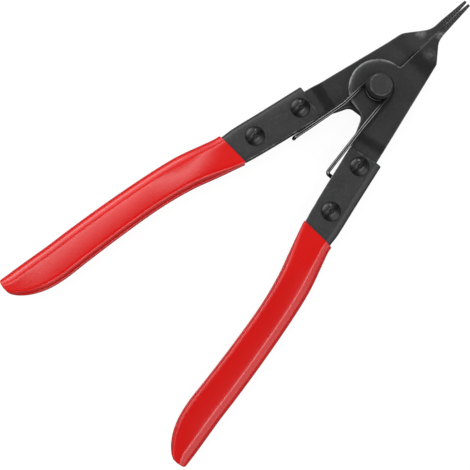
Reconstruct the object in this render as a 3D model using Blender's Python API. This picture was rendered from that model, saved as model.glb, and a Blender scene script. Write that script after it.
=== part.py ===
"""External circlip pliers (lock-ring pliers): two riveted plate jaws on one pivot pin,
a hairpin return spring, and two pressed channel handles with dipped vinyl grips.

Frame: metres. The pliers lie flat, +Z is up from the table. The pivot axis is the Z
axis, and z = 0 is the flat end of the pin's peened tail. +X points at the tips, +Y is
the side of the left handle. The handles are at rest, which is spread, and the tips shut.
"""

from math import acos, cos, pi, radians, sin, tan

import bmesh
import bpy
from mathutils import Matrix, Vector

# Clearances
PLAY = 0.0003                 # gap kept between pieces that touch
HOLE_PLAY = 0.0003            # radial gap of a hole round its pin or rivet
TIP_PLAY = 0.00015            # half of the gap along the closing line of the jaws

# Pivot pin
PIN_RADIUS = 0.0042
PIN_TAIL_RADIUS = 0.0056
PIN_TAIL_HEIGHT = 0.0016
PIN_TAIL_CHAMFER = 0.0006
PIN_HEAD_RADIUS = 0.0056
PIN_FACE_RADIUS = 0.0046
PIN_HEAD_HEIGHT = 0.0050
PIN_CHAMFER_HEIGHT = 0.0032

# Jaw plates, both cut from one thickness of plate
JAW_THICKNESS = 0.0048
JAW_EDGE_ROUND = 0.0006
BOSS_RADIUS = 0.0130
NOTCH_ROUND = 0.0024          # between the boss and the closing line
CROTCH_ROUND = 0.0036         # between the boss and the tang
CROTCH_X = -0.0133            # where the inner edge of the tang leaves the boss
CROTCH_Y = 0.0033
BOSS_START = radians(-162)    # the boss is round from here to the notch
CLOSING_ANGLE = radians(-0.7)  # the line where the tips meet, against the X axis

# The noses are given square to the closing line: distance from the pivot, half width
REAR_SHOULDER = (0.0248, 0.0103)
REAR_SHOULDER_ROUND = 0.0085
REAR_NECK = (0.0352, 0.0026)
REAR_TIP_START = (0.0414, 0.00250)
FRONT_SHOULDER = (0.0259, 0.0099)
FRONT_SHOULDER_ROUND = 0.0006
FRONT_NECK = (0.0336, 0.0034)
FRONT_TIP_START = (0.0380, 0.00265)
NECK_ROUND = 0.0095
TIP_REACH = 0.0548            # pivot to the end of the tips
TIP_END_HALF_WIDTH = 0.00160
TIP_END_WIDTH = 0.00115
TIP_RELIEF_LENGTH = 0.0050    # where the inner faces part, to grip a ring
TIP_THICKNESS = 0.0034
TIP_END_THICKNESS = 0.0026
TIP_STEP_LENGTH = 0.0022      # plate thickness fades to tip thickness in this length

# The plates are set over, so tangs and noses share the plane between the two bosses
TANG_BEND = (0.0185, 0.0250)  # along the handle from the pivot
NOSE_BEND = (0.0165, 0.0265)  # along X
BEND_STEPS = 4

# Handle channels: u runs along the handle from the pivot, v square to it, outboard
HANDLE_ANGLE = radians(12.6)
SHEET = 0.0016
BEND_RADIUS = 0.0030
CHANNEL_FRONT = 0.02775
CHANNEL_INNER = 0.0031
CHANNEL_WIDTH = 0.0157
HANDLE_REACH = 0.1799         # pivot to the end of the channel
SHEARED_EDGE = 0.0002         # break of the flange edges
HANDLE_END_WIDTH = 0.0026
HANDLE_END_LENGTH = 0.0220    # length of the rounded end
HANDLE_END_DROP = 0.0007
HANDLE_END_POWERS = (2.5, 0.63)  # of the rounded end; 2 and 0.5 would make it an ellipse

# The pressed bow: (u, rise of the outer edge, rise of the inner edge)
BOW = (
    (0.0480, 0.0000, 0.0002),
    (0.0630, 0.0001, 0.0007),
    (0.0690, -0.0004, 0.0015),
    (0.0780, 0.0005, 0.0028),
    (0.0900, 0.0018, 0.0044),
    (0.1050, 0.0019, 0.0049),
    (0.1250, 0.0011, 0.0038),
    (0.1450, -0.0003, 0.0020),
    (0.1570, -0.0014, 0.0008),
)
BOW_END = (-0.0026, 0.0007)   # where the edges would end without the rounded end
UPPER_SHORT = 0.0008          # the upper flange is this much narrower than the lower one
UPPER_SHORT_FROM = 0.0669     # where that begins along the handle
UPPER_SHORT_FADES = (0.0180, 0.0060)  # lengths in which it comes and goes
STATION_STEP = 0.0020         # closest that two sections of a handle come
END_ANGLES = (0, 24, 42, 57, 70, 80, 90)  # degrees, sections round the rounded end

# Rivets through channel and tang
RIVET_RADIUS = 0.0025
RIVET_HEAD_RADIUS = 0.0042
RIVET_HEAD_HEIGHT = 0.0020
RIVET_FACE_RADIUS = 0.0012
RIVET_DOME_ANGLES = (0, 25, 50, 72)  # degrees up the dome
RIVET_SETBACK = 0.0052
RIVET_PITCH = 0.0230
TANG_PAST_RIVET = 0.0066
TANG_CORNER_ROUND = 0.0030
TANG_RECESS_LEAD = 0.0030     # the tang gives way to a spring hook this far before it
TANG_RECESS_PLAY = 0.0006

# Dipped vinyl grips
VINYL = 0.0007
VINYL_EDGE = 0.0006
VINYL_END_NARROW = (0.0010, 0.0006)   # rounds the end of the grip: outer and inner side
POCKET_EDGE = 0.0003
GRIP_START = 0.0669
GRIP_START_LEAN = 0.21        # the dip line leans back towards the outer edge
GRIP_LEAN_FADE = 0.0150

# Return spring
WIRE_RADIUS = 0.00085
COIL_RADIUS = 0.0055
COIL_PITCH = 0.00185
COIL_TURNS = 1.5
COIL_STEPS = 24               # sections in one turn
LEG_BEND_X = -0.0155
LEG_BEND_Y = (0.0058, 0.0069)     # left and right, from here on
LEG_STAND_OFF = (0.0006, 0.0016)  # leg to the inner edge of the channel, at the hook
HOOK_U = 0.0425
HOOK_DEPTH = (0.0056, 0.0026)     # how far each hook reaches down
HOOK_TURN_IN = (0.0002, 0.0028)   # and how far it leans out, into its channel
LEG_BEND_ROUND = 0.0040
HOOK_ROUND = 0.0017

# Levels above the table, from the tail of the pin upwards
REAR_BOSS_BOTTOM = PIN_TAIL_HEIGHT + PLAY
REAR_BOSS_TOP = REAR_BOSS_BOTTOM + JAW_THICKNESS
FRONT_BOSS_BOTTOM = REAR_BOSS_TOP + PLAY
FRONT_BOSS_TOP = FRONT_BOSS_BOTTOM + JAW_THICKNESS
MID_PLANE = (REAR_BOSS_TOP + FRONT_BOSS_BOTTOM) / 2
SET_OVER = (JAW_THICKNESS + PLAY) / 2
COIL_BOTTOM = FRONT_BOSS_TOP + PLAY
COIL_TOP = COIL_BOTTOM + COIL_TURNS * COIL_PITCH + 2 * WIRE_RADIUS
HEAD_BOTTOM = COIL_TOP + PLAY
HEAD_TOP = HEAD_BOTTOM + PIN_HEAD_HEIGHT

# Sizes that follow from the ones above
CHANNEL_HALF_GAP = JAW_THICKNESS / 2 + PLAY
CHANNEL_HALF_DEPTH = CHANNEL_HALF_GAP + SHEET
CHANNEL_OUTER = CHANNEL_INNER + CHANNEL_WIDTH
TANG_OUTER = CHANNEL_OUTER - SHEET - PLAY
TANG_INNER = CHANNEL_INNER + PLAY
HOOK_ENTRY = max(turn - off for turn, off in zip(HOOK_TURN_IN, LEG_STAND_OFF))
TANG_RECESS = CHANNEL_INNER + HOOK_ENTRY + TANG_RECESS_PLAY
RIVET_V = CHANNEL_INNER + CHANNEL_WIDTH / 2
RIVET_US = (CHANNEL_FRONT + RIVET_SETBACK, CHANNEL_FRONT + RIVET_SETBACK + RIVET_PITCH)
TANG_END = RIVET_US[1] + TANG_PAST_RIVET

# Fineness of the mesh
ARC_STEP = radians(15)
SHARP_ANGLE = radians(35)
PIN_SIDES = 32
RIVET_SIDES = 20
MERGE = 1e-7


def clear_scene():
    for item in list(bpy.data.objects):
        bpy.data.objects.remove(item, do_unlink=True)


def make_material(name, colour, roughness, metallic):
    material = bpy.data.materials.new(name)
    material.use_nodes = True
    shader = material.node_tree.nodes["Principled BSDF"]
    shader.inputs["Base Color"].default_value = (*colour, 1.0)
    shader.inputs["Roughness"].default_value = roughness
    shader.inputs["Metallic"].default_value = metallic
    return material


def add_object(name, bm, material):
    """Turn a bmesh into a named object with smooth round faces and its own material."""
    bmesh.ops.remove_doubles(bm, verts=bm.verts, dist=MERGE)
    bmesh.ops.recalc_face_normals(bm, faces=bm.faces)
    mesh = bpy.data.meshes.new(name)
    bm.to_mesh(mesh)
    bm.free()
    mesh.shade_smooth()
    mesh.set_sharp_from_angle(angle=SHARP_ANGLE)
    mesh.materials.append(material)
    item = bpy.data.objects.new(name, mesh)
    bpy.context.collection.objects.link(item)
    return item


def handle_point(u, v):
    """Plan position of a point u along the left handle and v outboard of the pivot."""
    along = Vector((-cos(HANDLE_ANGLE), sin(HANDLE_ANGLE)))
    outboard = Vector((sin(HANDLE_ANGLE), cos(HANDLE_ANGLE)))
    return along * u + outboard * v


def arc_points(centre, radius, start, end):
    """Points on an arc, both ends included, at most ARC_STEP apart."""
    count = max(2, int(abs(end - start) / ARC_STEP) + 1)
    angles = [start + (end - start) * i / count for i in range(count + 1)]
    return [Vector((centre[0] + radius * cos(a), centre[1] + radius * sin(a))) for a in angles]


def rounded_corner(before, corner, after, radius):
    """Points that round a corner between two straight runs, in two or three dimensions."""
    back = (before - corner).normalized()
    ahead = (after - corner).normalized()
    opening = acos(max(-1.0, min(1.0, back.dot(ahead))))
    if pi - opening < 1e-3 or radius <= 0:
        return [corner]
    reach = radius / tan(opening / 2)
    reach = min(reach, 0.49 * (before - corner).length, 0.49 * (after - corner).length)
    radius = reach * tan(opening / 2)
    centre = corner + (back + ahead).normalized() * (radius / sin(opening / 2))
    start = corner + back * reach - centre
    end = corner + ahead * reach - centre
    turn = pi - opening
    count = max(2, int(turn / ARC_STEP) + 1)
    points = []
    for i in range(count + 1):
        share = i / count
        a = sin((1 - share) * turn) / sin(turn)
        b = sin(share * turn) / sin(turn)
        points.append(centre + start * a + end * b)
    return points


def rounded_outline(corners):
    """A closed outline from (point, radius) corners; a list of points is kept as it is."""
    flat = [(c, None) if isinstance(c, list) else c for c in corners]
    outline = []
    for i, (item, radius) in enumerate(flat):
        if radius is None:
            outline.extend(item)
            continue
        before, after = flat[i - 1][0], flat[(i + 1) % len(flat)][0]
        before = before[-1] if isinstance(before, list) else before
        after = after[0] if isinstance(after, list) else after
        outline.extend(rounded_corner(before, item, after, radius))
    return outline


def inset_outline(outline, amount):
    """The outline moved inwards; it runs anticlockwise."""
    moved = []
    for i, point in enumerate(outline):
        before = (point - outline[i - 1]).normalized()
        after = (outline[(i + 1) % len(outline)] - point).normalized()
        inward = Vector((-(before.y + after.y), before.x + after.x)).normalized()
        lean = max(0.5, inward.dot(Vector((-after.y, after.x))))
        moved.append(point + inward * (amount / lean))
    return moved


def extrude_through(bm, face, first, rings):
    """Extrude a face through rings of points; first holds its vertices in ring order."""
    order = first
    for ring in rings:
        made = bmesh.ops.extrude_face_region(bm, geom=[face, *face.edges, *face.verts])
        face = next(g for g in made["geom"] if isinstance(g, bmesh.types.BMFace))
        copies = {vert.co.to_tuple(): vert for vert in face.verts}
        order = [copies[vert.co.to_tuple()] for vert in order]
        for vert, place in zip(order, ring):
            vert.co = place
        bm.normal_update()


def swept_solid(rings):
    """A closed solid through rings of equal length, capped at both ends."""
    bm = bmesh.new()
    first = [bm.verts.new(p) for p in rings[0]]
    extrude_through(bm, bm.faces.new(first), first, rings[1:])
    return bm


def turned_solid(profile, centre, sides):
    """A solid of revolution about a vertical axis from (radius, z) points."""
    bm = bmesh.new()
    verts = [bm.verts.new((centre[0] + r, centre[1], z)) for r, z in profile]
    edges = [bm.edges.new(pair) for pair in zip(verts, verts[1:])]
    bmesh.ops.spin(bm, geom=verts + edges, cent=(centre[0], centre[1], 0), axis=(0, 0, 1),
                   angle=2 * pi, steps=sides, use_merge=True)
    return bm


def cut_holes(item, name, holes):
    """Cut upright round holes, given as (centre, radius), through an object."""
    bm = bmesh.new()
    for centre, radius in holes:
        place = Matrix.Translation((centre[0], centre[1], MID_PLANE))
        bmesh.ops.create_cone(bm, cap_ends=True, segments=PIN_SIDES, radius1=radius,
                              radius2=radius, depth=4 * JAW_THICKNESS, matrix=place)
    cutter = add_object(name, bm, item.data.materials[0])
    cutter.hide_render = True
    cutter.display_type = "WIRE"
    cut = item.modifiers.new("holes", "BOOLEAN")
    cut.operation = "DIFFERENCE"
    cut.solver = "EXACT"
    cut.object = cutter


def mirrored(points):
    return [Vector((p[0], -p[1], *p[2:])) for p in points]


# Jaws

def jaw_outline(shoulder, shoulder_round, neck, tip_start, closing_angle):
    """Plan of a jaw whose nose and tang are on the +Y side, anticlockwise."""
    def nose(x, y):
        return Vector((x, y)) @ Matrix.Rotation(-closing_angle, 2)

    contact_end = TIP_REACH - TIP_RELIEF_LENGTH
    notch_x = (BOSS_RADIUS ** 2 - TIP_PLAY ** 2) ** 0.5
    crotch = Vector((CROTCH_X, CROTCH_Y))
    boss = arc_points((0, 0), BOSS_RADIUS, BOSS_START, -NOTCH_ROUND / BOSS_RADIUS)
    return rounded_outline([
        (crotch, CROTCH_ROUND),
        boss,
        (nose(notch_x, TIP_PLAY), NOTCH_ROUND / 2),
        (nose(contact_end, TIP_PLAY), 0),
        (nose(TIP_REACH, TIP_END_HALF_WIDTH - TIP_END_WIDTH), 0),
        (nose(TIP_REACH, TIP_END_HALF_WIDTH), 0),
        (nose(*tip_start), 0),
        (nose(*neck), NECK_ROUND),
        (nose(*shoulder), shoulder_round),
        (handle_point(TANG_END, TANG_OUTER), TANG_CORNER_ROUND),
        (handle_point(TANG_END, TANG_RECESS), TANG_CORNER_ROUND),
        (handle_point(HOOK_U - TANG_RECESS_LEAD, TANG_RECESS), 0),
        (handle_point(CHANNEL_FRONT, TANG_INNER), 0),
    ])


def ease(share):
    return share * share * (3 - 2 * share)


def plate_level(x, u, boss_side):
    """Height of the middle of a plate over the plane between the bosses."""
    share = 1.0
    for place, (start, end) in ((u, TANG_BEND), (x, NOSE_BEND)):
        share = min(share, max(0.0, (end - place) / (end - start)))
    return boss_side * SET_OVER * ease(share)


def plate_thickness(x, tip_start_x):
    if x <= tip_start_x - TIP_STEP_LENGTH:
        return JAW_THICKNESS
    if x <= tip_start_x:
        share = (tip_start_x - x) / TIP_STEP_LENGTH
        return TIP_THICKNESS + (JAW_THICKNESS - TIP_THICKNESS) * share
    share = (x - tip_start_x) / (TIP_REACH - tip_start_x)
    return TIP_THICKNESS + (TIP_END_THICKNESS - TIP_THICKNESS) * share


def bend_lines(start, end):
    return [start + (end - start) * i / BEND_STEPS for i in range(BEND_STEPS + 1)]


def make_jaw(name, outline, tip_start_x, boss_side, material):
    """A plate with rounded edges, set over between the boss, the tang and the nose.

    The rear jaw, with its boss on the lower side, has its tang and nose on the +Y side.
    """
    along = handle_point(1, 0).to_3d()
    along.y *= -boss_side
    half = JAW_THICKNESS / 2
    inner = inset_outline(outline, JAW_EDGE_ROUND)
    levels = ((inner, -half), (outline, JAW_EDGE_ROUND - half),
              (outline, half - JAW_EDGE_ROUND), (inner, half))
    bm = swept_solid([[Vector((p.x, p.y, z)) for p in ring] for ring, z in levels])
    across_nose = bend_lines(*NOSE_BEND) + [tip_start_x - TIP_STEP_LENGTH, tip_start_x]
    cuts = [(along, u) for u in bend_lines(*TANG_BEND)]
    cuts += [(Vector((1, 0, 0)), x) for x in across_nose]
    for direction, place in cuts:
        geometry = list(bm.verts) + list(bm.edges) + list(bm.faces)
        bmesh.ops.bisect_plane(bm, geom=geometry, dist=MERGE, plane_co=direction * place,
                               plane_no=direction)
    for vert in bm.verts:
        level = plate_level(vert.co.x, vert.co.xy.dot(along.xy), boss_side)
        scale = plate_thickness(vert.co.x, tip_start_x) / JAW_THICKNESS
        vert.co.z = MID_PLANE + level + vert.co.z * scale
    return add_object(name, bm, material)


def make_jaws(material_front, material_rear):
    rear = jaw_outline(REAR_SHOULDER, REAR_SHOULDER_ROUND, REAR_NECK, REAR_TIP_START,
                       CLOSING_ANGLE)
    front = jaw_outline(FRONT_SHOULDER, FRONT_SHOULDER_ROUND, FRONT_NECK, FRONT_TIP_START,
                        -CLOSING_ANGLE)
    front = list(reversed(mirrored(front)))
    jaw_rear = make_jaw("jaw_rear", rear, REAR_TIP_START[0], -1, material_rear)
    jaw_front = make_jaw("jaw_front", front, FRONT_TIP_START[0], 1, material_front)
    rivet_holes = [(handle_point(u, RIVET_V), RIVET_RADIUS + HOLE_PLAY) for u in RIVET_US]
    pin_hole = (Vector((0, 0)), PIN_RADIUS + HOLE_PLAY)
    cut_holes(jaw_rear, "cut_jaw_rear", [pin_hole] + rivet_holes)
    right_holes = [(mirrored([c])[0], r) for c, r in rivet_holes]
    cut_holes(jaw_front, "cut_jaw_front", [pin_hole] + right_holes)
    return jaw_front, jaw_rear


# Pin, rivets and spring

def make_pin(material):
    profile = (
        (0, 0),
        (PIN_TAIL_RADIUS - PIN_TAIL_CHAMFER, 0),
        (PIN_TAIL_RADIUS, PIN_TAIL_CHAMFER),
        (PIN_TAIL_RADIUS, PIN_TAIL_HEIGHT),
        (PIN_RADIUS, PIN_TAIL_HEIGHT),
        (PIN_RADIUS, HEAD_BOTTOM),
        (PIN_HEAD_RADIUS, HEAD_BOTTOM),
        (PIN_HEAD_RADIUS, HEAD_TOP - PIN_CHAMFER_HEIGHT),
        (PIN_FACE_RADIUS, HEAD_TOP),
        (0, HEAD_TOP),
    )
    return add_object("pivot_pin", turned_solid(profile, (0, 0), PIN_SIDES), material)


def rivet_dome(seat, outward):
    """Profile of a button head from its rim to its small flat face."""
    top = seat + outward * RIVET_HEAD_HEIGHT
    points = []
    for angle in map(radians, RIVET_DOME_ANGLES):
        radius = RIVET_FACE_RADIUS + (RIVET_HEAD_RADIUS - RIVET_FACE_RADIUS) * cos(angle)
        points.append((radius, seat + (top - seat) * sin(angle)))
    return points + [(RIVET_FACE_RADIUS, top), (0, top)]


def make_rivet(name, centre, material):
    seat = CHANNEL_HALF_DEPTH + PLAY
    bottom = rivet_dome(MID_PLANE - seat, -1)
    top = rivet_dome(MID_PLANE + seat, 1)
    shank = [(RIVET_RADIUS, MID_PLANE - seat), (RIVET_RADIUS, MID_PLANE + seat)]
    profile = list(reversed(bottom)) + shank + top
    return add_object(name, turned_solid(profile, centre, RIVET_SIDES), material)


def spring_leg(side, level):
    """One leg from the coil outwards: straight, a bend, along the handle, and a hook."""
    place = 0 if side > 0 else 1
    inner = CHANNEL_INNER - LEG_STAND_OFF[place] - WIRE_RADIUS
    hook = handle_point(HOOK_U, inner)
    hook_end = handle_point(HOOK_U, inner + HOOK_TURN_IN[place])
    hook_level = MID_PLANE + CHANNEL_HALF_GAP - WIRE_RADIUS
    coil = Vector((0, side * COIL_RADIUS, level))
    bend = Vector((LEG_BEND_X, side * LEG_BEND_Y[place], level))
    corner = Vector((hook.x, side * hook.y, hook_level))
    end = Vector((hook_end.x, side * hook_end.y, hook_level - HOOK_DEPTH[place]))
    along = rounded_corner(coil, bend, corner, LEG_BEND_ROUND)
    return [coil] + along + rounded_corner(bend, corner, end, HOOK_ROUND) + [end]


def make_spring(material):
    low = COIL_BOTTOM + WIRE_RADIUS
    high = low + COIL_TURNS * COIL_PITCH
    steps = round(COIL_TURNS * COIL_STEPS)
    coil = []
    for i in range(1, steps):
        turn = COIL_TURNS * i / steps
        angle = pi / 2 - 2 * pi * turn
        coil.append(Vector((COIL_RADIUS * cos(angle), COIL_RADIUS * sin(angle),
                            low + turn * COIL_PITCH)))
    path = list(reversed(spring_leg(1, low))) + coil + spring_leg(-1, high)
    curve = bpy.data.curves.new("return_spring", "CURVE")
    curve.dimensions = "3D"
    curve.bevel_depth = WIRE_RADIUS
    curve.bevel_resolution = 2
    curve.use_fill_caps = True
    spline = curve.splines.new("POLY")
    spline.points.add(len(path) - 1)
    for point, place in zip(spline.points, path):
        point.co = (*place, 1.0)
    curve.materials.append(material)
    spring = bpy.data.objects.new("return_spring", curve)
    bpy.context.collection.objects.link(spring)
    return spring


# Handles

def smooth_through(points, at):
    """Value at a place on a smooth curve through (place, value) points."""
    if at <= points[0][0]:
        return points[0][1]
    if at >= points[-1][0]:
        return points[-1][1]
    i = max(k for k, p in enumerate(points[:-1]) if p[0] <= at)
    (x1, y1), (x2, y2) = points[i], points[i + 1]
    x0, y0 = points[max(i - 1, 0)]
    x3, y3 = points[min(i + 2, len(points) - 1)]
    share = (at - x1) / (x2 - x1)
    slope1 = (y2 - y0) / (x2 - x0) * (x2 - x1)
    slope2 = (y3 - y1) / (x3 - x1) * (x2 - x1)
    return (y1 * (1 + 2 * share) * (1 - share) ** 2 + slope1 * share * (1 - share) ** 2
            + y2 * share ** 2 * (3 - 2 * share) - slope2 * share ** 2 * (1 - share))


def handle_edges(u):
    """Outer and inner edge of the channel, v at a place u along it."""
    stations = ((CHANNEL_FRONT, 0.0, 0.0),) + BOW + ((HANDLE_REACH, *BOW_END),)
    outer = CHANNEL_OUTER + smooth_through([(s[0], s[1]) for s in stations], u)
    inner = CHANNEL_INNER + smooth_through([(s[0], s[2]) for s in stations], u)
    rounding = min(1.0, max(0.0, 1 - (HANDLE_REACH - u) / HANDLE_END_LENGTH))
    fullness, taper = HANDLE_END_POWERS
    fall = 1 - (1 - rounding ** fullness) ** taper
    outer -= HANDLE_END_DROP * fall
    inner += (outer - HANDLE_END_WIDTH - inner) * fall
    return outer, inner


def upper_short(u):
    """How much narrower the upper flange is than the lower one at u."""
    come, go = UPPER_SHORT_FADES
    begun = min(1.0, max(0.0, (u - UPPER_SHORT_FROM) / come))
    left = min(1.0, max(0.0, (HANDLE_REACH - u) / go))
    return UPPER_SHORT * ease(begun) * ease(left)


def channel_ring(u, grow, edge, lean=0.0, narrow=(0.0, 0.0)):
    """Section of the U channel at u, grown all round by an amount; web outboard.

    The ring starts at the tip of the upper flange and runs round the outside first. The
    rounded end is stretched by the same growth, and narrow takes some off the outer and
    the inner side.
    """
    closing = HANDLE_REACH - HANDLE_END_LENGTH
    stretch = HANDLE_END_LENGTH / (HANDLE_END_LENGTH + grow)
    place = min(u, closing + (u - closing) * stretch)
    outer, inner = handle_edges(place)
    bend = min(BEND_RADIUS, outer - inner - VINYL_EDGE)
    depth = CHANNEL_HALF_DEPTH + grow
    gap = CHANNEL_HALF_GAP - grow
    middle = CHANNEL_HALF_DEPTH - bend
    centre = outer - bend - narrow[0]
    big = bend + grow
    small = max(bend - SHEET - grow, SHEARED_EDGE / 2)
    web = outer - SHEET - grow - small
    tip = inner - grow + narrow[1]
    bends = [(centre + big * sin(a), middle + big * cos(a))
             for a in (0, radians(30), radians(60), radians(90))]
    inside_bend = [(web + small * sin(a), small - gap - small * cos(a))
                   for a in (0, radians(45), radians(90))]
    flanges = []
    for end in (tip + upper_short(place), tip):
        flanges.append(([(end, gap + edge), (end, depth - edge), (end + edge, depth)] + bends,
                        [(end + edge, -gap)] + inside_bend))
    (upper, upper_inside), (lower, lower_inside) = flanges
    lower = [(v, -z) for v, z in reversed(lower)]
    upper_inside = [(v, -z) for v, z in reversed(upper_inside)]
    ring = upper + lower + lower_inside + upper_inside
    places = []
    for v, z in ring:
        plan = handle_point(u + lean * (v - RIVET_V), v)
        places.append(Vector((plan.x, plan.y, MID_PLANE + z)))
    return places


def handle_stations(start, end):
    """Places along the handle, closer together in the bow and at the rounded end."""
    closing = HANDLE_REACH - HANDLE_END_LENGTH
    bow = [s[0] for s in BOW if start + STATION_STEP < s[0] < closing - STATION_STEP / 2]
    return [start] + bow + [closing + (end - closing) * sin(radians(a)) for a in END_ANGLES]


def make_channel(name, side, material):
    rings = [channel_ring(u, 0.0, SHEARED_EDGE)
             for u in handle_stations(CHANNEL_FRONT, HANDLE_REACH)]
    if side < 0:
        rings = [mirrored(ring) for ring in rings]
    channel = add_object(name, swept_solid(rings), material)
    holes = [(handle_point(u, RIVET_V), RIVET_RADIUS + HOLE_PLAY) for u in RIVET_US]
    if side < 0:
        holes = [(mirrored([c])[0], r) for c, r in holes]
    cut_holes(channel, "cut_" + name, holes)
    return channel


def make_grip(name, side, material):
    """A vinyl skin round the channel: an outer sleeve with a pocket for the sheet."""
    outside = PLAY + VINYL

    def lean_at(u):
        return GRIP_START_LEAN * max(0.0, 1 - (u - GRIP_START) / GRIP_LEAN_FADE)

    def narrow_at(u):
        past = max(0.0, (u - HANDLE_REACH) / outside)
        return [amount * (1 - max(0.0, 1 - past ** 2) ** 0.5) for amount in VINYL_END_NARROW]

    sleeve = [channel_ring(u, outside, VINYL_EDGE, lean_at(u), narrow_at(u))
              for u in handle_stations(GRIP_START, HANDLE_REACH + outside)]
    pocket = [channel_ring(u, PLAY, POCKET_EDGE, lean_at(u))
              for u in handle_stations(GRIP_START, HANDLE_REACH + PLAY)]
    if side < 0:
        sleeve = [mirrored(ring) for ring in sleeve]
        pocket = [mirrored(ring) for ring in pocket]
    bm = bmesh.new()
    first = [bm.verts.new(p) for p in sleeve[0]]
    mouth = bm.faces.new(first)
    extrude_through(bm, mouth, first, sleeve[1:])
    extrude_through(bm, mouth, first, pocket)
    return add_object(name, bm, material)


def main():
    clear_scene()
    front_steel = make_material("front_jaw_steel", (0.036, 0.036, 0.038), 0.42, 0.6)
    rear_steel = make_material("rear_jaw_steel", (0.045, 0.045, 0.047), 0.42, 0.6)
    channel_steel = make_material("channel_steel", (0.050, 0.050, 0.053), 0.45, 0.6)
    pin_steel = make_material("pin_steel", (0.055, 0.055, 0.057), 0.35, 0.7)
    rivet_steel = make_material("rivet_steel", (0.030, 0.030, 0.032), 0.30, 0.7)
    spring_steel = make_material("spring_steel", (0.022, 0.022, 0.023), 0.22, 0.8)
    left_vinyl = make_material("left_vinyl", (0.72, 0.030, 0.028), 0.28, 0.0)
    right_vinyl = make_material("right_vinyl", (0.72, 0.022, 0.018), 0.28, 0.0)

    jaw_front, jaw_rear = make_jaws(front_steel, rear_steel)
    pin = make_pin(pin_steel)
    spring = make_spring(spring_steel)
    halves = {
        "left": [jaw_rear, make_channel("channel_left", 1, channel_steel),
                 make_grip("grip_left", 1, left_vinyl)],
        "right": [jaw_front, pin, spring, make_channel("channel_right", -1, channel_steel),
                  make_grip("grip_right", -1, right_vinyl)],
    }
    for place, u in zip(("by_jaw", "by_grip"), RIVET_US):
        centre = handle_point(u, RIVET_V)
        halves["left"].append(make_rivet("rivet_left_" + place, centre, rivet_steel))
        centre = mirrored([centre])[0]
        halves["right"].append(make_rivet("rivet_right_" + place, centre, rivet_steel))

    for side, pieces in halves.items():
        hinge = bpy.data.objects.new("hinge_" + side, None)
        bpy.context.collection.objects.link(hinge)
        for piece in pieces:
            piece.parent = hinge


main()
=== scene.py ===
"""External circlip pliers: fine meshes, finishes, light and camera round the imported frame.

Metres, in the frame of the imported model. The pivot's axis is Z and z = 0 is the flat end
of the pin's peened tail, on the table. +X points at the tips and +Y is the left handle's
side. The handles are at rest, which is spread, and the tips are shut.
"""

import logging
from collections.abc import Callable, Sequence
from dataclasses import dataclass, replace
from enum import Enum
from math import acos, cos, pi, radians, sin, tan

import bmesh
import bpy
from mathutils import Euler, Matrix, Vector
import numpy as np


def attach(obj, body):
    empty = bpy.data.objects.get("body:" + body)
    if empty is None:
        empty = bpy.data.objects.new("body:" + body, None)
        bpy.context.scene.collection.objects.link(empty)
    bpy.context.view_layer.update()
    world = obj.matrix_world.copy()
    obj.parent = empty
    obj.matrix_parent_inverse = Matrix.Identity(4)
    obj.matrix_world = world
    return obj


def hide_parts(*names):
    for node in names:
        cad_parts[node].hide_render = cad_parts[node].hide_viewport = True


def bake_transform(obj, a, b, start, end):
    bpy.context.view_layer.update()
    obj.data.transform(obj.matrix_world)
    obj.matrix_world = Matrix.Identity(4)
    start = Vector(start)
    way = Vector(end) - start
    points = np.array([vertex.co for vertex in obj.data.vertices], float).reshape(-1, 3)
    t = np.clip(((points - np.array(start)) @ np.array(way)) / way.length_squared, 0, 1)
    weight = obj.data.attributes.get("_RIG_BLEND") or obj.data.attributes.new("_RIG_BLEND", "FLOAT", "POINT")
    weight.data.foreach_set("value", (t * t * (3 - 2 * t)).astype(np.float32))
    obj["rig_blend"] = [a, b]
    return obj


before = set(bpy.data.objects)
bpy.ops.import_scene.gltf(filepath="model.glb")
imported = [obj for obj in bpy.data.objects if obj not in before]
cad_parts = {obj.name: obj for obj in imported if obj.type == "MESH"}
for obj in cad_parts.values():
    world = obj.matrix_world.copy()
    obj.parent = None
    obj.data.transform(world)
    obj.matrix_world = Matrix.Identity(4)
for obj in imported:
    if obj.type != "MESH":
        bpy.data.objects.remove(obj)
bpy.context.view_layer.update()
LOG = logging.getLogger("circlip_pliers")

BMesh = bmesh.types.BMesh
Material = bpy.types.Material
Piece = bpy.types.Object
Colour = tuple[float, float, float]
Pair = tuple[float, float]
Triple = tuple[float, float, float]
Ring = list[Vector]

PLAY = 0.0003          # gap kept between pieces that touch
MERGE = 1e-7           # vertices closer than this are one
SHARP = radians(40)    # edges steeper than this stay sharp
STRAIGHT = 1e-3        # runs that turn by less than this have no corner
MOST_OF_HALF = 0.49    # share of a run that one rounded corner may take
HOLE_SIDES = 48
MIX_FIRST, MIX_SECOND, MIX_RESULT = 6, 7, 2    # colour sockets of a Mix node
NOISE_ROUGHNESS = 0.55


class Side(Enum):
    """The two halves of the pliers; each moves as one body."""

    LEFT = "left"
    RIGHT = "right"

    @property
    def sign(self) -> int:
        """Sign of the Y side that the half's handle lies on."""
        return 1 if self is Side.LEFT else -1

    @property
    def body(self) -> str:
        """Name of the CAD body that the half's pieces ride on."""
        return f"{self.value}_half"


# Points and outlines

def ease(share: float) -> float:
    """Smooth step from 0 to 1, held outside that range."""
    held = min(1.0, max(0.0, share))
    return held * held * (3 - 2 * held)


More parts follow.
